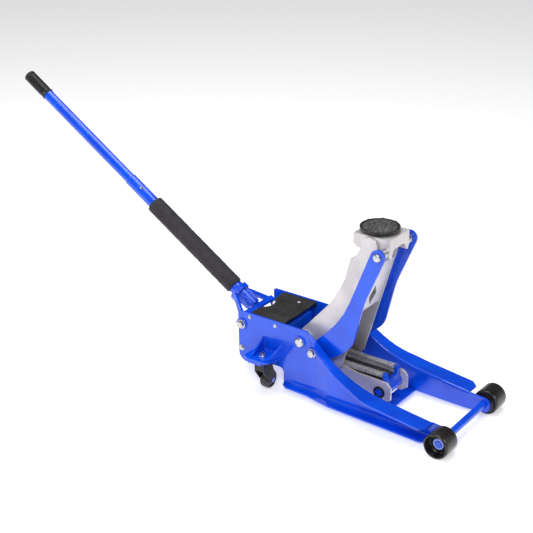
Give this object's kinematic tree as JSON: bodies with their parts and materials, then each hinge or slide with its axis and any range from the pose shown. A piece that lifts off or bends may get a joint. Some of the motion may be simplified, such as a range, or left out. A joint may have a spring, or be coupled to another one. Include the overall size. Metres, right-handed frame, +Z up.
{
  "type": "hydraulic trolley jack",
  "caption": "Low-profile hydraulic trolley jack with parallelogram lift arm, round saddle, pressed side plates, swivel casters and a two-piece handle.",
  "frame": {"origin": "centre of the footprint box, on the floor", "axes": "+X towards the front axle, +Y to the jack's left, +Z up; the handle points to -X"},
  "size_m": [1.5058, 0.324, 0.7117],
  "materials": {
    "blue_paint": "glossy blue enamel",
    "zinc": "dull zinc plate",
    "bright_steel": "bright zinc-plated steel",
    "cast_steel": "plain steel",
    "black_nylon": "black nylon",
    "black_enamel": "black textured enamel",
    "foam": "closed-cell foam",
    "rubber": "black rubber"
  },
  "bodies": {
    "frame": {"arm_cap_left": "bright_steel", "arm_cap_right": "bright_steel", "arm_shaft": "bright_steel", "caster_bracket_left": "blue_paint", "caster_bracket_right": "blue_paint", "cover_screw_left_front": "bright_steel", "cover_screw_left_rear": "bright_steel", "cover_screw_right_front": "bright_steel", "cover_screw_right_rear": "bright_steel", "cover_top_screw": "bright_steel", "front_axle": "blue_paint", "front_cross_plate": "blue_paint", "gland_nut": "black_enamel", "king_bolt_left": "bright_steel", "king_bolt_right": "bright_steel", "link_bolt_left": "bright_steel", "link_bolt_right": "bright_steel", "power_unit": "blue_paint", "pump_cover": "black_enamel", "ram_cylinder": "cast_steel", "rear_tie_bar": "blue_paint", "return_spring_left": "cast_steel", "return_spring_right": "cast_steel", "side_plate_left": "blue_paint", "side_plate_right": "blue_paint", "tie_bolt_left": "bright_steel", "tie_bolt_right": "bright_steel", "wheel_ring_left": "bright_steel", "wheel_ring_right": "bright_steel", "yoke_bolt_left": "bright_steel", "yoke_bolt_right": "bright_steel"},
    "lift_arm": {"lift_arm": "zinc"},
    "saddle_bracket": {"saddle_bracket": "zinc", "link_top_bolt_right": "bright_steel", "link_top_bolt_left": "bright_steel"},
    "saddle": {"saddle": "black_enamel", "saddle_pad": "rubber"},
    "radius_link_right": {"radius_link_right": "blue_paint"},
    "radius_link_left": {"radius_link_left": "blue_paint"},
    "ram": {"ram": "cast_steel", "crosshead": "blue_paint", "drag_link_right": "zinc", "drag_link_left": "zinc"},
    "front_wheel_right": {"front_wheel_right": "black_nylon"},
    "front_wheel_left": {"front_wheel_left": "black_nylon"},
    "caster_fork_right": {"caster_fork_right": "black_enamel"},
    "caster_fork_left": {"caster_fork_left": "black_enamel"},
    "caster_wheel_right": {"caster_wheel_right": "black_nylon", "caster_axle_right": "zinc"},
    "caster_wheel_left": {"caster_wheel_left": "black_nylon", "caster_axle_left": "zinc"},
    "yoke": {"handle_yoke": "blue_paint"},
    "handle": {"handle_lower": "blue_paint", "handle_upper": "blue_paint", "foam_sleeve": "foam", "handle_grip": "rubber"},
    "snap_button": {"snap_button": "bright_steel"},
    "pump_plunger": {"pump_plunger": "bright_steel"},
    "release_valve": {"release_valve": "bright_steel"}
  },
  "joints": [
    {"name": "lift", "type": "hinge", "parent": "frame", "child": "lift_arm", "pos_m": [0.26794, 0, 0.158], "axis": [0, 1, 0], "range_deg": [0, 75]},
    {"name": "radius_link_right_turn", "type": "hinge", "parent": "frame", "child": "radius_link_right", "pos_m": [0.30794, -0.076, 0.139], "axis": [0, 1, 0], "range_deg": [0, 75]},
    {"name": "radius_link_left_turn", "type": "hinge", "parent": "frame", "child": "radius_link_left", "pos_m": [0.30794, 0.076, 0.139], "axis": [0, 1, 0], "range_deg": [0, 75]},
    {"name": "saddle_level", "type": "hinge", "parent": "lift_arm", "child": "saddle_bracket", "pos_m": [0.45394, 0, 0.474], "axis": [0, 1, 0], "range_deg": [-75, 0]},
    {"name": "ram_slide", "type": "slide", "parent": "frame", "child": "ram", "axis": [-1, 0, 0], "range_m": [0, 0.11479], "deforming": ["return_spring_right", "return_spring_left"]},
    {"name": "saddle_spin", "type": "hinge", "parent": "saddle_bracket", "child": "saddle", "pos_m": [0.45094, 0, 0.499], "axis": [0, 0, 1], "continuous": true},
    {"name": "handle_pump", "type": "hinge", "parent": "frame", "child": "yoke", "pos_m": [0.07894, 0, 0.16], "axis": [0, 1, 0], "range_deg": [-18, 50]},
    {"name": "handle_twist", "type": "hinge", "parent": "yoke", "child": "handle", "pos_m": [0.07894, 0, 0.16], "axis": [-0.8368, 0, 0.5476], "range_deg": [0, 180]},
    {"name": "snap_button_press", "type": "slide", "parent": "handle", "child": "snap_button", "axis": [-0.4381, 0.6, -0.6694], "range_m": [0, 0.0035], "stiffness_N_per_m": 400, "springref_m": -0.004},
    {"name": "pump_plunger_slide", "type": "slide", "parent": "frame", "child": "pump_plunger", "axis": [-1, 0, 0], "range_m": [-0.012, 0.031]},
    {"name": "release_valve_turn", "type": "hinge", "parent": "frame", "child": "release_valve", "pos_m": [0.07894, 0, 0.16], "axis": [-1, 0, 0], "range_deg": [0, 180]},
    {"name": "front_wheel_right_roll", "type": "hinge", "parent": "frame", "child": "front_wheel_right", "pos_m": [0.71894, -0.13, 0.034], "axis": [0, 1, 0], "continuous": true},
    {"name": "caster_right_swivel", "type": "hinge", "parent": "frame", "child": "caster_fork_right", "pos_m": [0.17194, -0.121, 0.1], "axis": [0, 0, 1], "continuous": true},
    {"name": "caster_right_roll", "type": "hinge", "parent": "caster_fork_right", "child": "caster_wheel_right", "pos_m": [0.17194, -0.095, 0.026], "axis": [1, 0, 0], "continuous": true},
    {"name": "front_wheel_left_roll", "type": "hinge", "parent": "frame", "child": "front_wheel_left", "pos_m": [0.71894, 0.13, 0.034], "axis": [0, 1, 0], "continuous": true},
    {"name": "caster_left_swivel", "type": "hinge", "parent": "frame", "child": "caster_fork_left", "pos_m": [0.17194, 0.121, 0.1], "axis": [0, 0, 1], "continuous": true},
    {"name": "caster_left_roll", "type": "hinge", "parent": "caster_fork_left", "child": "caster_wheel_left", "pos_m": [0.17194, 0.095, 0.026], "axis": [1, 0, 0], "continuous": true}
  ],
  "couplings": [
    {"joint": "radius_link_right_turn", "follows": "lift", "ratio": 1},
    {"joint": "radius_link_left_turn", "follows": "lift", "ratio": 1},
    {"joint": "saddle_level", "follows": "lift", "ratio": -1},
    {"joint": "ram_slide", "follows": "lift", "m_per_rad": 0.08762},
    {"joint": "pump_plunger_slide", "follows": "handle_pump", "m_per_rad": 0.033},
    {"joint": "release_valve_turn", "follows": "handle_twist", "ratio": 1}
  ]
}
